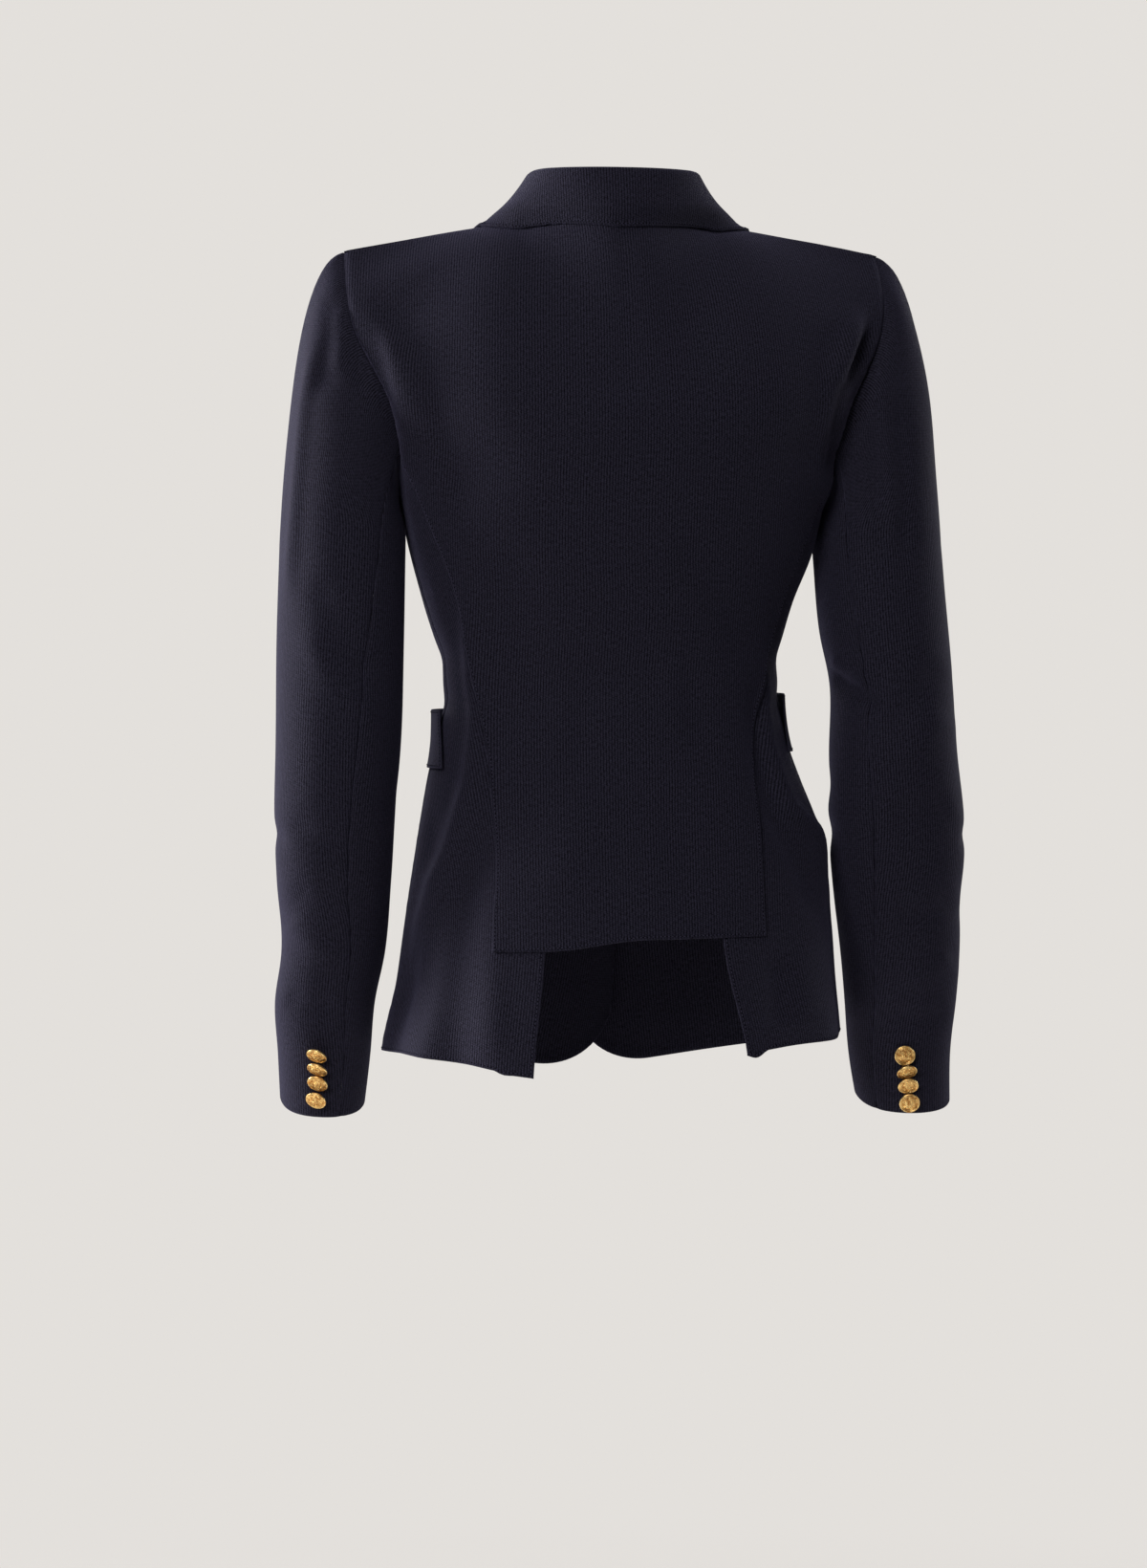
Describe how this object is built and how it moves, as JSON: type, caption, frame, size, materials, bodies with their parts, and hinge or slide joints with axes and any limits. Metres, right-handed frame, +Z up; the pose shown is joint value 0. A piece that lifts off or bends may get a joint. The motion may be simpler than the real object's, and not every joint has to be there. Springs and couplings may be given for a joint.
{
  "type": "blazer",
  "caption": "Fitted tailored blazer in ribbed navy cloth, hollow as worn, with a stepped back hem, hip pocket welts, a notched collar and domed metal buttons.",
  "frame": {"origin": "between the shoulders, on the line through the two neck points, where the garment is held by a wearer", "axes": "+Z up, +X to the wearer's left, the front faces -Y"},
  "size_m": [0.5204, 0.2375, 0.7058],
  "materials": {
    "navy_cloth": "fine vertical rib weave, soft sheen",
    "gold_metal": "warm aged gold, lightly worn relief"
  },
  "bodies": {
    "root": {"back": "navy_cloth", "side_back_left": "navy_cloth", "side_back_right": "navy_cloth", "front_left": "navy_cloth", "front_right": "navy_cloth", "top_sleeve_left": "navy_cloth", "top_sleeve_right": "navy_cloth", "under_sleeve_left": "navy_cloth", "under_sleeve_right": "navy_cloth", "lapel_left": "navy_cloth", "lapel_right": "navy_cloth", "collar": "navy_cloth", "pocket_welt_left": "navy_cloth", "pocket_welt_right": "navy_cloth", "cuff_button_left_1": "gold_metal", "cuff_button_left_2": "gold_metal", "cuff_button_left_3": "gold_metal", "cuff_button_left_4": "gold_metal", "cuff_button_right_1": "gold_metal", "cuff_button_right_2": "gold_metal", "cuff_button_right_3": "gold_metal", "cuff_button_right_4": "gold_metal", "front_button_1": "gold_metal", "front_button_2": "gold_metal"}
  },
  "joints": []
}
